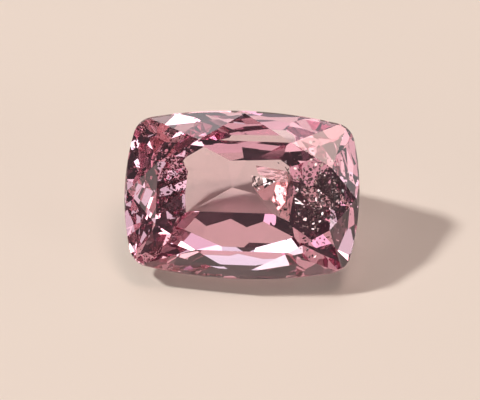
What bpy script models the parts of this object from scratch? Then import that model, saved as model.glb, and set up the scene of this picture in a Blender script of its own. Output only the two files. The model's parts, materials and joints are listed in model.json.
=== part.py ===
"""Pink sapphire cut as a rectangular cushion: one faceted stone that lies on a pavilion facet.

The stone is made the way a cutter makes it. A preform with the cushion outline is ground flat
facet by facet: first the table and the crown, then the pavilion, in steps up from the culet.
In the stone's own frame X runs along its length, Y across it and Z up through the table, and
Z = 0 is the top of the girdle's upright wall. Facet angles are measured from the girdle plane,
and facings are turned from +X towards +Y. The finished stone is laid down on its front facet.
"""
import math
import random
from collections import namedtuple

import bmesh
import bpy
from mathutils import Matrix, Vector

MM = 0.001

# Girdle outline: bulged long sides and ends, joined by round corners
LENGTH = 9.0 * MM
WIDTH = 6.44 * MM
CORNER_RADIUS = 0.85 * MM
CORNER_CENTRE = (3.40 * MM, 2.03 * MM)
LONG_SIDE_STEPS = 8
CORNER_STEPS = 10
END_STEPS = 6

# Girdle: an upright wall with a narrow strip above it that leans in
WALL_HEIGHT = 0.45 * MM
STRIP_HEIGHT = 0.25 * MM
STRIP_INSET = 0.11 * MM

# Table: an octagon, a little off the middle of the outline
TABLE_HEIGHT = 0.85 * MM
TABLE_HALF_LENGTH = 3.33 * MM
TABLE_HALF_WIDTH = 2.11 * MM
TABLE_LONG_EDGE_HALF = 1.78 * MM
TABLE_END_EDGE_HALF = 1.19 * MM
TABLE_OFFSET = Vector((0.08 * MM, -0.10 * MM, 0.0))

# Crown: where a corner facet's lower edge meets the end's and the long side's facets
CORNER_TIP_END = (3.81 * MM, 2.30 * MM)
CORNER_TIP_SIDE = (3.42 * MM, 2.65 * MM)

# Culet: where the lowest facets meet, off the middle of the stone
CULET = Vector((-0.42 * MM, 0.36 * MM, -3.65 * MM))

# Preform: its flat underside lies a little below the culet
PREFORM_DEPTH = 4.4 * MM

# Pavilion, cut in steps from the culet up. A step has its angle, the distance from the stone's
# axis at which it ends, and the turns of its facets from the side's own facing. The last step
# runs up to the girdle wall, so only its turns are given.
Step = namedtuple("Step", "angle end turns")
Side = namedtuple("Side", "facing start depth steps girdle_turns")


def facing_way(facing):
    """The level direction that a facing stands for."""
    return Vector((math.cos(math.radians(facing)), math.sin(math.radians(facing)), 0.0))


def side_from_culet(facing, steps, girdle_turns):
    """A side whose steps start at the culet."""
    return Side(facing, facing_way(facing).dot(CULET), -CULET.z, steps, girdle_turns)


FRONT = side_from_culet(
    270,
    (Step(29.5, 0.62 * MM, (0,)), Step(40, 1.98 * MM, (0,)), Step(47, 2.55 * MM, (-5, 0, 4))),
    (-9, -3, 3, 9),
)
BACK = side_from_culet(
    90,
    (
        Step(4, 1.38 * MM, (0,)),
        Step(49, 2.10 * MM, (-4, 4)),
        Step(60, 2.45 * MM, (-5, -1, 4)),
        Step(63, 2.80 * MM, (-3, 2, 7)),
    ),
    (-9, -3, 3, 9),
)
LEFT = side_from_culet(
    180,
    (
        Step(19.5, 2.20 * MM, (0,)),
        Step(43, 2.70 * MM, (-3, 3)),
        Step(46, 3.20 * MM, (-7, 0, 7)),
        Step(49, 3.75 * MM, (-9, -2, 5)),
    ),
    (-12, -6, 0, 6, 12),
)
RIGHT = side_from_culet(
    0,
    (
        Step(8, 1.85 * MM, (0,)),
        Step(43, 2.50 * MM, (-3, 4)),
        Step(45.5, 3.10 * MM, (-8, -1, 6)),
        Step(48, 3.70 * MM, (-5, 2, 9)),
    ),
    (-12, -6, 0, 6, 12),
)
SIDES = (FRONT, BACK, LEFT, RIGHT)
RESTING_TURN = math.radians(FRONT.steps[1].angle)

# The corners' steps start at a distance from the axis and at a depth
CORNERS = (
    Side(215, 2.2 * MM, 3.04 * MM, (Step(42, 3.2 * MM, (0,)), Step(45.5, 3.8 * MM, (-9, 9))), (-16, 0, 16)),
    Side(325, 2.2 * MM, 2.73 * MM, (Step(40, 3.1 * MM, (0,)), Step(41.5, 3.9 * MM, (-9, 9))), (-16, 0, 16)),
    Side(141, 2.2 * MM, 3.22 * MM, (Step(43, 3.1 * MM, (0,)), Step(47, 3.8 * MM, (-9, 9))), (-16, 0, 16)),
    Side(39, 2.2 * MM, 3.30 * MM, (Step(45, 3.1 * MM, (0,)), Step(47.5, 3.8 * MM, (-9, 9))), (-16, 0, 16)),
)

# Two more shallow facets beside the culet, at a distance from the axis and at a depth
Facet = namedtuple("Facet", "facing angle distance depth")
CULET_FACETS = (
    Facet(141, 29.2, 1.25 * MM, 3.59 * MM),
    Facet(300, 23.2, 1.00 * MM, 3.15 * MM),
)

# Cut by hand, the facets of a split step differ a little in their angles
LEAN_ERROR = 0.8
cutter = random.Random(7)

# Distances below which a corner lies on a cut, and below which two corners are one
ON_THE_CUT = 0.00001 * MM
SAME_CORNER = 0.004 * MM

# Pink, see-through corundum
PINK = (0.87, 0.47, 0.55, 1.0)
REFRACTIVE_INDEX = 1.77
POLISH_ROUGHNESS = 0.01


def arc(centre, radius, start, end, steps):
    """Points along an arc in the girdle plane, without the last one."""
    turns = [start + (end - start) * i / steps for i in range(steps)]
    return [Vector((centre[0] + radius * math.cos(t), centre[1] + radius * math.sin(t), 0.0)) for t in turns]


def quarter_outline():
    """The outline from the end's middle to the long side's middle, as three tangent arcs."""
    cx, cy = CORNER_CENTRE
    end_gap = LENGTH / 2 - cx
    side_gap = WIDTH / 2 - cy
    end_radius = (cy**2 + end_gap**2 - CORNER_RADIUS**2) / (2 * (end_gap - CORNER_RADIUS))
    side_radius = (cx**2 + side_gap**2 - CORNER_RADIUS**2) / (2 * (side_gap - CORNER_RADIUS))
    end_centre = (LENGTH / 2 - end_radius, 0.0)
    side_centre = (0.0, WIDTH / 2 - side_radius)
    end_turn = math.atan2(cy, cx - end_centre[0])
    side_turn = math.atan2(cy - side_centre[1], cx)
    return (
        arc(end_centre, end_radius, 0.0, end_turn, END_STEPS)
        + arc(CORNER_CENTRE, CORNER_RADIUS, end_turn, side_turn, CORNER_STEPS)
        + arc(side_centre, side_radius, side_turn, math.pi / 2, LONG_SIDE_STEPS)
    )


def cushion_outline():
    """The whole outline, anticlockwise from +X: its first quarter mirrored across both axes."""
    right_half = quarter_outline() + [Vector((0.0, WIDTH / 2, 0.0))]
    back_half = right_half + [Vector((-p.x, p.y, 0.0)) for p in reversed(right_half[:-1])]
    return back_half + [Vector((p.x, -p.y, 0.0)) for p in reversed(back_half[1:-1])]


def make_preform():
    """A block with the cushion outline: upright below Z = 0, and leaning in up to the table."""
    stone = bmesh.new()
    outline = stone.faces.new([stone.verts.new(p) for p in cushion_outline()])
    for corner in outline.verts:
        corner.co.z = -PREFORM_DEPTH
    wall = bmesh.ops.extrude_face_region(stone, geom=[outline])["geom"]
    for corner in (g for g in wall if isinstance(g, bmesh.types.BMVert)):
        corner.co.z = 0.0
    girdle = [g for g in wall if isinstance(g, bmesh.types.BMFace)]
    strip = bmesh.ops.extrude_face_region(stone, geom=girdle)["geom"]
    bmesh.ops.delete(stone, geom=girdle, context="FACES_ONLY")
    lean = STRIP_INSET * TABLE_HEIGHT / STRIP_HEIGHT
    for corner in (g for g in strip if isinstance(g, bmesh.types.BMVert)):
        corner.co.x *= 1 - lean / (LENGTH / 2)
        corner.co.y *= 1 - lean / (WIDTH / 2)
        corner.co.z = TABLE_HEIGHT
    bmesh.ops.recalc_face_normals(stone, faces=stone.faces[:])
    return stone


def plane_through(first, second, third):
    """The plane of a crown facet: a point on it, and its normal pointing away from the girdle."""
    normal = (second - first).cross(third - first).normalized()
    return first, normal if normal.dot(first) > 0 else -normal


def crown_facets():
    """A facet along each table side, a wide one at each corner, and two slim ones beside that."""
    facets = []
    side_middle = WIDTH / 2 - STRIP_INSET
    end_middle = LENGTH / 2 - STRIP_INSET

    def table_shoulder(x_sign, y_sign):
        x, y = x_sign * TABLE_LONG_EDGE_HALF, y_sign * TABLE_HALF_WIDTH
        return Vector((x, y, TABLE_HEIGHT)) + TABLE_OFFSET

    def table_tip(x_sign, y_sign):
        x, y = x_sign * TABLE_HALF_LENGTH, y_sign * TABLE_END_EDGE_HALF
        return Vector((x, y, TABLE_HEIGHT)) + TABLE_OFFSET

    for sign in (-1, 1):
        side_point = Vector((0.0, sign * side_middle, STRIP_HEIGHT))
        facets.append(plane_through(table_shoulder(-1, sign), table_shoulder(1, sign), side_point))
        end_point = Vector((sign * end_middle, 0.0, STRIP_HEIGHT))
        facets.append(plane_through(table_tip(sign, -1), table_tip(sign, 1), end_point))
    for x_sign in (-1, 1):
        for y_sign in (-1, 1):
            shoulder = table_shoulder(x_sign, y_sign)
            tip = table_tip(x_sign, y_sign)
            end_tip = Vector((x_sign * CORNER_TIP_END[0], y_sign * CORNER_TIP_END[1], STRIP_HEIGHT))
            side_tip = Vector((x_sign * CORNER_TIP_SIDE[0], y_sign * CORNER_TIP_SIDE[1], STRIP_HEIGHT))
            side_point = Vector((0.0, y_sign * side_middle, STRIP_HEIGHT))
            end_point = Vector((x_sign * end_middle, 0.0, STRIP_HEIGHT))
            facets.append(plane_through(tip, shoulder, (end_tip + side_tip) / 2))
            facets.append(plane_through(shoulder, side_tip, side_point))
            facets.append(plane_through(tip, end_tip, end_point))
    return facets


def pavilion_plane(facet):
    """The plane of a pavilion facet: a point on it, and its normal pointing out and down."""
    lean = math.radians(facet.angle)
    point = facing_way(facet.facing) * facet.distance + Vector((0.0, 0.0, -facet.depth))
    return point, facing_way(facet.facing) * math.sin(lean) + Vector((0.0, 0.0, -math.cos(lean)))


def reach(facing):
    """How far the outline stands out from the axis, measured along a facing."""
    return max(facing_way(facing).dot(p) for p in cushion_outline())


def step_facets(middle, turns):
    """The facets of a step, each as far inside the bulged outline as the step's middle is."""
    inside = reach(middle.facing) - middle.distance
    facets = []
    for turn in turns:
        facing = middle.facing + turn
        angle = middle.angle + (cutter.uniform(-LEAN_ERROR, LEAN_ERROR) if len(turns) > 1 else 0.0)
        facets.append(pavilion_plane(Facet(facing, angle, reach(facing) - inside, middle.depth)))
    return facets


def pavilion_facets():
    """The planes of all the pavilion's facets, step by step up to the girdle wall's lower edge."""
    facets = []
    for side in SIDES + CORNERS:
        start, depth = side.start, side.depth
        for step in side.steps:
            facets += step_facets(Facet(side.facing, step.angle, start, depth), step.turns)
            depth -= (step.end - start) * math.tan(math.radians(step.angle))
            start = step.end
        wall = reach(side.facing)
        steepness = math.degrees(math.atan2(depth - WALL_HEIGHT, wall - start))
        facets += step_facets(Facet(side.facing, steepness, wall, WALL_HEIGHT), side.girdle_turns)
    return facets + [pavilion_plane(facet) for facet in CULET_FACETS]


def grind(stone, point, normal):
    """Take away what stands above a plane and close the cut with one flat facet."""
    whole = stone.verts[:] + stone.edges[:] + stone.faces[:]
    cut = bmesh.ops.bisect_plane(
        stone,
        geom=whole,
        dist=ON_THE_CUT,
        plane_co=point,
        plane_no=normal,
        clear_outer=True,
    )
    edges = [g for g in cut["geom_cut"] if isinstance(g, bmesh.types.BMEdge)]
    rim = [edge for edge in edges if edge.is_boundary]
    bmesh.ops.edgeloop_fill(stone, edges=rim)


def make_stone():
    """The whole stone, table up, as a mesh."""
    stone = make_preform()
    for point, normal in crown_facets() + pavilion_facets():
        grind(stone, point, normal)
    bmesh.ops.remove_doubles(stone, verts=stone.verts[:], dist=SAME_CORNER)
    bmesh.ops.recalc_face_normals(stone, faces=stone.faces[:])
    mesh = bpy.data.meshes.new("sapphire")
    stone.to_mesh(mesh)
    stone.free()
    return mesh


def pink_corundum():
    """The stone's material: polished and see-through."""
    material = bpy.data.materials.new("pink corundum")
    material.use_nodes = True
    surface = material.node_tree.nodes["Principled BSDF"]
    surface.inputs["Base Color"].default_value = PINK
    surface.inputs["Metallic"].default_value = 0.0
    surface.inputs["Roughness"].default_value = POLISH_ROUGHNESS
    surface.inputs["IOR"].default_value = REFRACTIVE_INDEX
    surface.inputs["Transmission Weight"].default_value = 1.0
    return material


def lay_down(stone):
    """Turn the front's second step down, and stand the middle of the stone's box over the origin."""
    turn = Matrix.Rotation(RESTING_TURN, 4, "X")
    corners = [turn @ v.co for v in stone.data.vertices]
    lowest = Vector([min(c[axis] for c in corners) for axis in range(3)])
    highest = Vector([max(c[axis] for c in corners) for axis in range(3)])
    middle = (lowest + highest) / 2
    stone.rotation_euler.x = RESTING_TURN
    stone.location = (-middle.x, -middle.y, -lowest.z)


for old in list(bpy.data.objects):
    bpy.data.objects.remove(old, do_unlink=True)

collection = bpy.data.collections.new("pink sapphire")
bpy.context.scene.collection.children.link(collection)
sapphire = bpy.data.objects.new("sapphire", make_stone())
sapphire.data.materials.append(pink_corundum())
collection.objects.link(sapphire)
lay_down(sapphire)
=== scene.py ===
import json
import math
import random

import bpy
from mathutils import Euler, Matrix, Vector


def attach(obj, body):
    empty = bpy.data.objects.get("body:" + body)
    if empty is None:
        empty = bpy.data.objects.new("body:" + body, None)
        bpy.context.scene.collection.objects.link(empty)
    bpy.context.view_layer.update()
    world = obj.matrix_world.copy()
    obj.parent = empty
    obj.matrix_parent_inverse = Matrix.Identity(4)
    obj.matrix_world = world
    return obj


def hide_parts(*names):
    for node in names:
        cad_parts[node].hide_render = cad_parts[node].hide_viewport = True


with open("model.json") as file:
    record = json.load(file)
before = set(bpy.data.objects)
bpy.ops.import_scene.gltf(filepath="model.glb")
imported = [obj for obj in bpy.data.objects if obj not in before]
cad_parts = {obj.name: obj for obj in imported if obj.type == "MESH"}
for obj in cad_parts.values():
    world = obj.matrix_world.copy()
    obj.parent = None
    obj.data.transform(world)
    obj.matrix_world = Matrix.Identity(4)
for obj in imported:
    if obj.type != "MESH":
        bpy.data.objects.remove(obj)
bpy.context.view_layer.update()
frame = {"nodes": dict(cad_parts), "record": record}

# The stone's own directions
# The stone lies tipped towards the viewer. Its table gives the direction that is square to the
# girdle, and with the stone's length along X that fixes its own frame, whose origin is in the
# middle of the girdle. All that is inside the stone is placed in that frame, in metres.
MM = 0.001
TABLE_MIDDLE = Vector((0.08, -0.10, 0.85)) * MM
table = next(mount for mount in frame["record"]["mounts"] if mount["name"] == "table")
up_through_table = Vector(table["axis"]).normalized()
along = Vector((1.0, 0.0, 0.0))
across = up_through_table.cross(along)
stone_turn = Matrix((along, across, up_through_table)).transposed()
stone_middle = Vector(table["pos_m"]) - stone_turn @ TABLE_MIDDLE
stone_frame = Matrix.Translation(stone_middle) @ stone_turn.to_4x4()


# The faceted stone
# One crystal of pink corundum, ground and polished flat facet by facet. The facet junctions are
# crisp. The girdle wall round the edge is rounded and only finely ground, so it is slightly frosted,
# and the polished flats are a trace wavy, as hand-held polishing leaves them.
JUNCTION_MERGE = 0.004 * MM
FLAT_ANGLE = math.radians(0.3)
GIRDLE_WALL_LEAN = 0.12
REFRACTIVE_INDEX = 1.77
ABSORPTION_COLOUR = (0.86, 0.20, 0.47, 1.0)
ABSORPTION_DENSITY = 70.0
GIRDLE_FROST = 0.14
CLEAR = (1.0, 1.0, 1.0, 1.0)
WAVE_LENGTH = 1.3 * MM
WAVE_HEIGHT = 0.0006 * MM
WAVE_DETAIL = 1.0


class Wire:
    """A socket in a material's nodes. Arithmetic on it adds Math nodes."""

    def __init__(self, tree, socket=None):
        self.tree = tree
        self.socket = socket

    def node(self, kind, settings=None, inputs=None, output=0):
        """Adds a node: its settings first, then the values or links of its sockets."""
        made = self.tree.nodes.new(kind)
        for name, value in (settings or {}).items():
            setattr(made, name, value)
        for name, value in (inputs or {}).items():
            if isinstance(value, Wire):
                self.tree.links.new(value.socket, made.inputs[name])
            else:
                made.inputs[name].default_value = value
        return Wire(self.tree, made.outputs[output])

    def maths(self, operation, first, second=0.0):
        return self.node("ShaderNodeMath", {"operation": operation}, {0: first, 1: second})

    def __mul__(self, other):
        return self.maths("MULTIPLY", self, other)

    def __rmul__(self, other):
        return self.maths("MULTIPLY", other, self)

    def __abs__(self):
        return self.maths("ABSOLUTE", self)

    def below(self, limit):
        return self.maths("LESS_THAN", self, limit)

    def into(self, shader, name):
        self.tree.links.new(self.socket, shader.inputs[name])


def new_material(name):
    """A material with a Principled shader: the shader node and a wire to start its nodes from."""
    material = bpy.data.materials.new(name)
    material.use_nodes = True
    return material, material.node_tree.nodes["Principled BSDF"], Wire(material.node_tree)


def set_constants(shader, constants):
    for name, value in constants.items():
        shader.inputs[name].default_value = value


bpy.ops.object.select_all(action="DESELECT")
stone = bpy.data.objects.new("faceted_stone", frame["nodes"]["sapphire"].data.copy())
bpy.context.scene.collection.objects.link(stone)
bpy.context.view_layer.objects.active = stone
stone.select_set(True)
bpy.ops.object.mode_set(mode="EDIT")
bpy.ops.mesh.select_all(action="SELECT")
bpy.ops.mesh.remove_doubles(threshold=JUNCTION_MERGE)
bpy.ops.mesh.dissolve_limited(angle_limit=FLAT_ANGLE)
bpy.ops.mesh.select_all(action="DESELECT")
bpy.ops.object.mode_set(mode="OBJECT")
for face in stone.data.polygons:
    face.select = abs(face.normal.dot(up_through_table)) < GIRDLE_WALL_LEAN
bpy.ops.object.mode_set(mode="EDIT")
bpy.ops.mesh.select_mode(type="FACE")
bpy.ops.mesh.faces_shade_smooth()
bpy.ops.mesh.region_to_loop()
bpy.ops.mesh.mark_sharp()
bpy.ops.object.mode_set(mode="OBJECT")

corundum, shader, start = new_material("pink_corundum")
set_constants(
    shader,
    {
        "Base Color": CLEAR,
        "IOR": REFRACTIVE_INDEX,
        "Transmission Weight": 1.0,
    },
)
facing = start.node("ShaderNodeNewGeometry", output="True Normal")
lean = start.node(
    "ShaderNodeVectorMath", {"operation": "DOT_PRODUCT"}, {0: facing, 1: up_through_table}, "Value"
)
girdle_wall = abs(lean).below(GIRDLE_WALL_LEAN)
(girdle_wall * GIRDLE_FROST).into(shader, "Roughness")
where = start.node("ShaderNodeTexCoord", output="Object")
waves = start.node(
    "ShaderNodeTexNoise", None, {"Vector": where, "Scale": 1.0 / WAVE_LENGTH, "Detail": WAVE_DETAIL}
)
start.node(
    "ShaderNodeBump", None, {"Strength": 1.0, "Distance": WAVE_HEIGHT, "Height": waves}
).into(shader, "Normal")
absorption = start.node(
    "ShaderNodeVolumeAbsorption",
    None,
    {"Color": ABSORPTION_COLOUR, "Density": ABSORPTION_DENSITY},
)
absorption.into(corundum.node_tree.nodes["Material Output"], "Volume")
stone.data.materials.clear()
stone.data.materials.append(corundum)
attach(stone, "root")
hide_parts("sapphire")


# The cloud of crystals
# Small dark crystals of other minerals, grown into the corundum at its right end. They lie in two
# curved sheets, where cracks healed, with more between the sheets.
CLOUD_SEED = 11
CRYSTAL_RADIUS = 0.034 * MM
CRYSTAL_SIZES = (0.5, 1.4)
CRYSTAL_BREADTHS = (0.6, 1.0)
CRYSTAL_LENGTHS = (0.9, 2.2)
CRYSTAL_COUNTS = (200, 110, 220)
CRYSTAL_CLOUD_MIDDLE = (3.05, 0.1, 0.1)
CRYSTAL_ROUGHNESS = 0.12
CRYSTAL_INDEX = 1.9
CRYSTAL_SHINE = 0.8
NEARLY_BLACK = (0.008, 0.005, 0.006, 1.0)
DARK_BROWN = (0.10, 0.05, 0.055, 1.0)
MINERAL_GRAIN = MM / 9.0
GRAIN_DETAIL = 2.0

# A sheet is given by its middle and its spread in the stone's own millimetres, and by its bow.
UPPER_SHEET = ((3.05, -0.15, 0.30), (1.1, 1.7), -0.3)
LOWER_SHEET = ((2.7, 0.1, -0.30), (0.9, 1.5), 0.4)
SHEET_GATHERING = 0.5
SHEET_SLANT = 0.5
SHEET_THICKNESS = 0.05
CLOUD_SPREAD = (0.5, 0.5, 0.3)
SKIN = 0.07 * MM

# The Mix node's sockets for two colours, and for the colour that comes out
MIX_FIRST, MIX_SECOND, MIX_RESULT = 6, 7, 2

chance = random.Random(CLOUD_SEED)


def in_stone(x, y, z):
    """The point of the scene that is at x, y, z millimetres in the stone's own frame."""
    return stone_frame @ (Vector((x, y, z)) * MM)


def depth_below_skin(point):
    """How far inside the stone a point is. The stone is convex, so its flats tell."""
    return min((face.center - point).dot(face.normal) for face in stone.data.polygons)


def sheet_points(count, middle, spread, bow):
    """Points on a curved sheet in the stone, closer together towards its middle."""
    points = []
    for number in range(count):
        u = chance.gauss(0.0, SHEET_GATHERING)
        v = chance.gauss(0.0, SHEET_GATHERING)
        lift = bow * (u * u - SHEET_SLANT * v) + chance.gauss(0.0, SHEET_THICKNESS)
        points.append(in_stone(middle[0] + spread[0] * u, middle[1] + spread[1] * v, middle[2] + lift))
    return points


def cloud_points(count, middle):
    """Points gathered round a middle, in the stone."""
    return [
        in_stone(*(chance.gauss(middle[axis], CLOUD_SPREAD[axis]) for axis in range(3)))
        for number in range(count)
    ]


def places_and_sizes(counts, cloud_middle, sizes):
    """Places on the upper sheet, on the lower sheet and in the cloud, each with a size."""
    upper, lower, between = counts
    points = sheet_points(upper, *UPPER_SHEET) + sheet_points(lower, *LOWER_SHEET)
    points += cloud_points(between, cloud_middle)
    return [(point, chance.uniform(*sizes)) for point in points]


def any_way():
    """A turn at random, as crystals lie."""
    return Euler([chance.uniform(0.0, math.tau) for axis in range(3)]).to_matrix()


def stout():
    """A crystal's proportions."""
    return Matrix.Diagonal((1.0, chance.uniform(*CRYSTAL_BREADTHS), chance.uniform(*CRYSTAL_LENGTHS), 1.0))


def scatter(name, pattern, places, turn, proportions):
    """Copies of one small shape, each with its own mesh, turn and size, joined as one piece."""
    copies = []
    for place, size in places:
        if depth_below_skin(place) < SKIN:
            continue
        mesh = pattern.data.copy()
        shape = Matrix.Scale(size, 4) @ proportions()
        mesh.transform(Matrix.Translation(place) @ turn().to_4x4() @ shape)
        copy = bpy.data.objects.new(name, mesh)
        bpy.context.scene.collection.objects.link(copy)
        copies.append(copy)
    bpy.ops.object.select_all(action="DESELECT")
    for copy in copies:
        copy.select_set(True)
    bpy.context.view_layer.objects.active = copies[0]
    bpy.ops.object.join()
    bpy.data.objects.remove(pattern)
    copies[0].name = name
    return copies[0]


def mottled(start, grain, first_colour, second_colour):
    """A colour that wanders between two others, in patches of the grain's size."""
    where = start.node("ShaderNodeTexCoord", output="Object")
    patches = start.node(
        "ShaderNodeTexNoise", None, {"Vector": where, "Scale": 1.0 / grain, "Detail": GRAIN_DETAIL}
    )
    return start.node(
        "ShaderNodeMix",
        {"data_type": "RGBA"},
        {"Factor": patches, MIX_FIRST: first_colour, MIX_SECOND: second_colour},
        MIX_RESULT,
    )


bpy.ops.object.select_all(action="DESELECT")
bpy.ops.mesh.primitive_ico_sphere_add(subdivisions=1, radius=CRYSTAL_RADIUS)
crystal = bpy.context.active_object
crystal_places = places_and_sizes(CRYSTAL_COUNTS, CRYSTAL_CLOUD_MIDDLE, CRYSTAL_SIZES)
cloud = scatter("crystal_cloud", crystal, crystal_places, any_way, stout)

dark_mineral, shader, start = new_material("dark_crystals")
set_constants(
    shader,
    {
        "Roughness": CRYSTAL_ROUGHNESS,
        "IOR": CRYSTAL_INDEX,
        "Specular IOR Level": CRYSTAL_SHINE,
    },
)
mottled(start, MINERAL_GRAIN, NEARLY_BLACK, DARK_BROWN).into(shader, "Base Color")
cloud.data.materials.clear()
cloud.data.materials.append(dark_mineral)
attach(cloud, "root")


# The glinting plates
# Thin bright six-sided plates among the dark crystals. They grew in the same two healed cracks,
# nearly level with one another, so many of them flash at once.
PLATE_RADIUS = 0.046 * MM
PLATE_SIDES = 6
PLATE_DEPTH = 0.25 * PLATE_RADIUS
PLATE_SIZES = (0.5, 1.9)
PLATE_BREADTHS = (0.25, 0.8)
PLATE_COUNTS = (190, 90, 120)
PLATE_CLOUD_MIDDLE = (3.05, 0.1, 0.2)
PLATE_LEAN_ACROSS = math.radians(2.0)
PLATE_LEAN_ALONG = math.radians(14.0)
PLATE_LEAN_SPREAD = math.radians(4.5)
PLATE_ROUGHNESS = 0.04
PALE_PINK = (0.80, 0.66, 0.68, 1.0)
PINKISH_WHITE = (1.0, 0.95, 0.95, 1.0)


def nearly_level():
    """A turn close to the healed cracks' own lean, as the plates in them lie."""
    lean_across = chance.gauss(PLATE_LEAN_ACROSS, PLATE_LEAN_SPREAD)
    lean_along = chance.gauss(PLATE_LEAN_ALONG, PLATE_LEAN_SPREAD)
    spin = chance.uniform(0.0, math.tau)
    return stone_turn @ Euler((lean_across, lean_along, spin), "ZYX").to_matrix()


def slender():
    """A plate's proportions."""
    return Matrix.Diagonal((1.0, chance.uniform(*PLATE_BREADTHS), 1.0, 1.0))


bpy.ops.object.select_all(action="DESELECT")
bpy.ops.mesh.primitive_cylinder_add(vertices=PLATE_SIDES, radius=PLATE_RADIUS, depth=PLATE_DEPTH)
plate = bpy.context.active_object
plate_places = places_and_sizes(PLATE_COUNTS, PLATE_CLOUD_MIDDLE, PLATE_SIZES)
plates = scatter("glinting_plates", plate, plate_places, nearly_level, slender)

bright_plate, shader, start = new_material("bright_plates")
set_constants(shader, {"Metallic": 1.0, "Roughness": PLATE_ROUGHNESS})
mottled(start, MINERAL_GRAIN, PALE_PINK, PINKISH_WHITE).into(shader, "Base Color")
plates.data.materials.clear()
plates.data.materials.append(bright_plate)
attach(plates, "root")


# The needles
# Single needles of a dark mineral, grown through the corundum right of its middle and near its
# upper right corner, and one dark grain at the tip of the longest. A needle is given by its ends.
NEEDLE_RADIUS = 0.016 * MM
NEEDLE_SIDES = 6
NEEDLE_UNEVENNESS = 0.2 * NEEDLE_RADIUS
NEEDLES = (
    ((2.50, 1.55, 0.35), (2.85, 1.32, 0.30)),
    ((2.85, 1.32, 0.30), (3.05, 1.30, 0.25)),
    ((0.42, 0.70, 0.25), (0.62, 0.28, 0.15)),
    ((0.50, 0.30, 0.20), (1.22, 0.58, 0.30)),
    ((0.38, 0.45, 0.10), (0.56, 0.20, 0.35)),
    ((1.62, 1.10, 0.10), (1.95, 0.62, -0.20)),
    ((2.05, -0.30, 0.20), (2.02, 0.42, 0.05)),
)
GRAIN_PLACE = (1.22, 0.58, 0.30)
GRAIN_RADIUS = 0.045 * MM

needles = []
for first_end, second_end in NEEDLES:
    foot, tip = in_stone(*first_end), in_stone(*second_end)
    bpy.ops.object.select_all(action="DESELECT")
    bpy.ops.mesh.primitive_cylinder_add(
        vertices=NEEDLE_SIDES,
        radius=NEEDLE_RADIUS,
        depth=(tip - foot).length,
        location=(foot + tip) / 2.0,
    )
    needle = bpy.context.active_object
    needle.rotation_euler = (tip - foot).to_track_quat("Z", "Y").to_euler()
    bpy.ops.object.transform_apply(location=True, rotation=True, scale=True)
    bpy.ops.object.mode_set(mode="EDIT")
    bpy.ops.mesh.select_all(action="SELECT")
    bpy.ops.mesh.subdivide(number_cuts=1)
    bpy.ops.transform.vertex_random(offset=NEEDLE_UNEVENNESS, seed=len(needles))
    bpy.ops.object.mode_set(mode="OBJECT")
    needles.append(needle)
bpy.ops.object.select_all(action="DESELECT")
bpy.ops.mesh.primitive_ico_sphere_add(
    subdivisions=2, radius=GRAIN_RADIUS, location=in_stone(*GRAIN_PLACE)
)
needles.append(bpy.context.active_object)
for needle in needles:
    needle.select_set(True)
bpy.ops.object.join()
needles = bpy.context.active_object
needles.name = "needles"
bpy.ops.object.transform_apply(location=True, rotation=True, scale=True)
needles.data.materials.clear()
needles.data.materials.append(dark_mineral)
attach(needles, "root")


# The feather
# A small crack right of the middle that healed in part, with two single glints further right. Its
# open parts are thin films that mirror the light: small bright glints, and wider half-clear veils.
FILM_THICKNESS = 0.010 * MM
FILM_UNEVENNESS = 0.6 * FILM_THICKNESS
FILM_CUTS = 3
FILM_SEED = 5
VEIL_ROUGHNESS = 0.10
VEIL_COVER = 0.5
VEIL_GRAIN = 0.4 * MM
VEIL_ROSE = (0.88, 0.46, 0.50, 1.0)
VEIL_PINK = (1.0, 0.72, 0.76, 1.0)

# A film is given by its corners' x and y, its height, and how it slopes along x and along y.
GLINTS = (
    (((0.35, 0.74), (0.77, 0.66), (0.40, 0.30)), 0.20, 0.25, 0.03),
    (((0.77, 0.66), (1.30, 0.56), (0.85, 0.24)), 0.20, -0.25, 0.03),
    (((0.50, 0.30), (0.78, 0.24), (0.58, 0.14)), 0.18, -0.05, -0.28),
    (((2.03, -0.08), (2.53, -0.34), (2.05, -0.28)), 0.18, -0.25, 0.03),
    (((3.38, 0.85), (3.52, 0.30), (3.40, -0.42)), 0.26, -0.25, 0.03),
)
VEILS = (
    (((0.50, 1.12), (1.65, 0.95), (1.74, 0.52), (1.31, 0.52), (0.60, 0.80)), 0.12, 0.07, -0.28),
    (((1.31, 0.52), (1.74, 0.52), (1.67, -0.25), (1.41, -0.58), (1.17, -0.20)), 0.05, -0.05, -0.22),
    (((0.45, 0.26), (1.31, 0.52), (1.17, -0.20), (0.83, -0.20)), 0.02, 0.00, 0.10),
    (((1.65, 0.95), (1.91, 0.76), (1.98, 0.09), (1.67, -0.25), (1.74, 0.52)), 0.08, 0.12, 0.0),
    (((1.67, -0.25), (1.98, 0.09), (1.84, -0.97), (1.46, -0.78), (1.41, -0.58)), 0.0, -0.03, 0.10),
)


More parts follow.
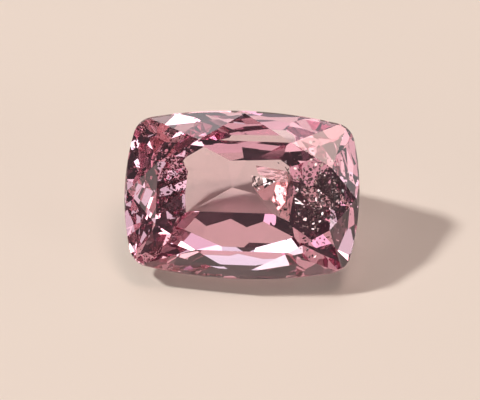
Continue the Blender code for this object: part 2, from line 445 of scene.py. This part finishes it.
def films(name, flats):
    """Thin flat films inside the stone, a little uneven, as one piece."""
    corners, faces = [], []
    for outline, height, slope_along, slope_across in flats:
        middle_x = sum(x for x, y in outline) / len(outline)
        middle_y = sum(y for x, y in outline) / len(outline)
        faces.append(range(len(corners), len(corners) + len(outline)))
        for x, y in outline:
            lift = slope_along * (x - middle_x) + slope_across * (y - middle_y)
            corners.append(in_stone(x, y, height + lift))
    mesh = bpy.data.meshes.new(name)
    mesh.from_pydata(corners, [], faces)
    piece = bpy.data.objects.new(name, mesh)
    bpy.context.scene.collection.objects.link(piece)
    bpy.ops.object.select_all(action="DESELECT")
    bpy.context.view_layer.objects.active = piece
    piece.select_set(True)
    bpy.ops.object.mode_set(mode="EDIT")
    bpy.ops.mesh.select_all(action="SELECT")
    bpy.ops.mesh.quads_convert_to_tris()
    bpy.ops.mesh.subdivide(number_cuts=FILM_CUTS, smoothness=0.0)
    bpy.ops.transform.vertex_random(offset=FILM_UNEVENNESS, seed=FILM_SEED)
    bpy.ops.object.mode_set(mode="OBJECT")
    thicken = piece.modifiers.new("thicken", "SOLIDIFY")
    thicken.thickness = FILM_THICKNESS
    thicken.offset = 0.0
    bpy.ops.object.modifier_apply(modifier=thicken.name)
    return piece


glints = films("feather_glints", GLINTS)
glints.data.materials.append(bright_plate)
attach(glints, "root")

veils = films("feather_veils", VEILS)
veil, shader, start = new_material("feather_veil")
set_constants(shader, {"Metallic": 1.0, "Roughness": VEIL_ROUGHNESS, "Alpha": VEIL_COVER})
mottled(start, VEIL_GRAIN, VEIL_ROSE, VEIL_PINK).into(shader, "Base Color")
veils.data.materials.append(veil)
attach(veils, "root")


# The surface below
# A plain pale matt floor. It lies a hair below the stone, so that the resting facet and the floor
# don't share one plane.
FLOOR_SIZE = 2.0
FLOOR_GAP = 0.02 * MM
FLOOR_COLOUR = (0.88, 0.79, 0.69, 1.0)
FLOOR_ROUGHNESS = 0.8

bpy.ops.object.select_all(action="DESELECT")
bpy.ops.mesh.primitive_plane_add(size=FLOOR_SIZE, location=(0.0, 0.0, -FLOOR_GAP))
floor = bpy.context.active_object
floor.name = "floor"
paper, shader, start = new_material("floor_paper")
set_constants(shader, {"Base Color": FLOOR_COLOUR, "Roughness": FLOOR_ROUGHNESS})
floor.data.materials.append(paper)


# Light
# A dim tent with soft boxes round the stone. Each box is placed by the way to it from the stone and
# its size is the angle it covers, and the dark gaps between them give the facets their contrast.
BOX_DISTANCE = 0.8
SOFT_WHITE = (1.0, 0.97, 0.95)
WARM = (1.0, 0.84, 0.76)
PEACH = (1.0, 0.74, 0.70)
SALMON = (1.0, 0.74, 0.69)
COOL = (0.90, 0.92, 1.0)
PALE_GREEN = (0.94, 1.0, 0.97)
ROSE = (1.0, 0.72, 0.84)
MAGENTA = (1.0, 0.60, 0.84)
ROOM_COLOUR = (1.0, 0.93, 0.92, 1.0)
ROOM_BRIGHTNESS = 0.05


def soft_box(name, facing, height, wide, tall, brightness, colour=SOFT_WHITE):
    """A box light: its way round from +X, its height, width and tallness in degrees, its radiance."""
    light = bpy.data.lights.new(name, "AREA")
    light.shape = "RECTANGLE"
    light.size = 2.0 * BOX_DISTANCE * math.tan(math.radians(wide / 2.0))
    light.size_y = 2.0 * BOX_DISTANCE * math.tan(math.radians(tall / 2.0))
    light.energy = brightness * math.pi * light.size * light.size_y
    light.color = colour
    lamp = bpy.data.objects.new(name, light)
    bpy.context.scene.collection.objects.link(lamp)
    turn, lift = math.radians(facing), math.radians(height)
    way = Vector((math.cos(turn) * math.cos(lift), math.sin(turn) * math.cos(lift), math.sin(lift)))
    lamp.location = way * BOX_DISTANCE
    lamp.rotation_euler = way.to_track_quat("Z", "Y").to_euler()
    lamp.visible_camera = False


soft_box("key", 172, 46, 5, 5, 265.0)
soft_box("warm_top_light", 40, 76, 22, 18, 5.5, SALMON)
soft_box("back_window", 93, 52, 26, 14, 1.1, COOL)
soft_box("back_card", 120, 60, 20, 16, 1.5)
soft_box("back_right_card", 70, 54, 14, 12, 1.0, ROSE)
soft_box("high_right_card", 308, 68, 28, 14, 0.9, PALE_GREEN)
soft_box("right_window", 333, 20, 20, 14, 2.6)
soft_box("low_right_strip", 318, 7, 34, 8, 1.8, WARM)
soft_box("low_front_card", 288, 8, 14, 8, 1.6, MAGENTA)
soft_box("left_wall", 212, 18, 30, 22, 1.2, WARM)
soft_box("front_card", 264, 30, 34, 22, 0.8, PEACH)
soft_box("front_left_card", 250, 12, 14, 8, 1.5, ROSE)
soft_box("high_left_card", 246, 66, 14, 12, 1.4)
soft_box("right_wall", 12, 22, 14, 16, 1.4)
room = bpy.data.worlds.new("room")
room.use_nodes = True
room.node_tree.nodes["Background"].inputs["Color"].default_value = ROOM_COLOUR
room.node_tree.nodes["Background"].inputs["Strength"].default_value = ROOM_BRIGHTNESS
bpy.context.scene.world = room
bpy.context.scene.view_settings.view_transform = "Standard"


# The view
# A long lens looks down on the stone, almost square to its table, as in the photograph. Light in
# a cut stone is turned back many times, so a ray may bounce often before it is given up.
VIEW_TILT_FRONT = math.radians(3.0)
VIEW_TILT_RIGHT = math.radians(1.0)
VIEW_ROLL = math.radians(2.0)
VIEW_DISTANCE = 0.30
PICTURE_WIDTH = 480
PIXELS_PER_MM = 26.11
STONE_OFF_CENTRE = (2.0, -5.25)
SENSOR_WIDTH = 36.0
NEAREST = 0.01
FARTHEST = 10.0
BOUNCES = 24

backward = stone_turn @ Vector(
    (
        math.sin(VIEW_TILT_RIGHT),
        -math.sin(VIEW_TILT_FRONT) * math.cos(VIEW_TILT_RIGHT),
        math.cos(VIEW_TILT_FRONT) * math.cos(VIEW_TILT_RIGHT),
    )
)
level_right = (along - backward * along.dot(backward)).normalized()
level_up = backward.cross(level_right)
right = level_right * math.cos(VIEW_ROLL) + level_up * math.sin(VIEW_ROLL)
upward = backward.cross(right)
aim = stone_middle - (right * STONE_OFF_CENTRE[0] - upward * STONE_OFF_CENTRE[1]) / PIXELS_PER_MM * MM
camera = bpy.data.objects.new("camera", bpy.data.cameras.new("camera"))
bpy.context.scene.collection.objects.link(camera)
camera.matrix_world = Matrix.Translation(aim + backward * VIEW_DISTANCE) @ Matrix(
    (right, upward, backward)
).transposed().to_4x4()
camera.data.sensor_width = SENSOR_WIDTH
camera.data.sensor_fit = "HORIZONTAL"
camera.data.lens = VIEW_DISTANCE * SENSOR_WIDTH / (PICTURE_WIDTH / PIXELS_PER_MM * MM)
camera.data.clip_start = NEAREST
camera.data.clip_end = FARTHEST
bpy.context.scene.camera = camera
bpy.context.scene.cycles.max_bounces = BOUNCES
bpy.context.scene.cycles.transmission_bounces = BOUNCES
bpy.context.scene.cycles.glossy_bounces = BOUNCES
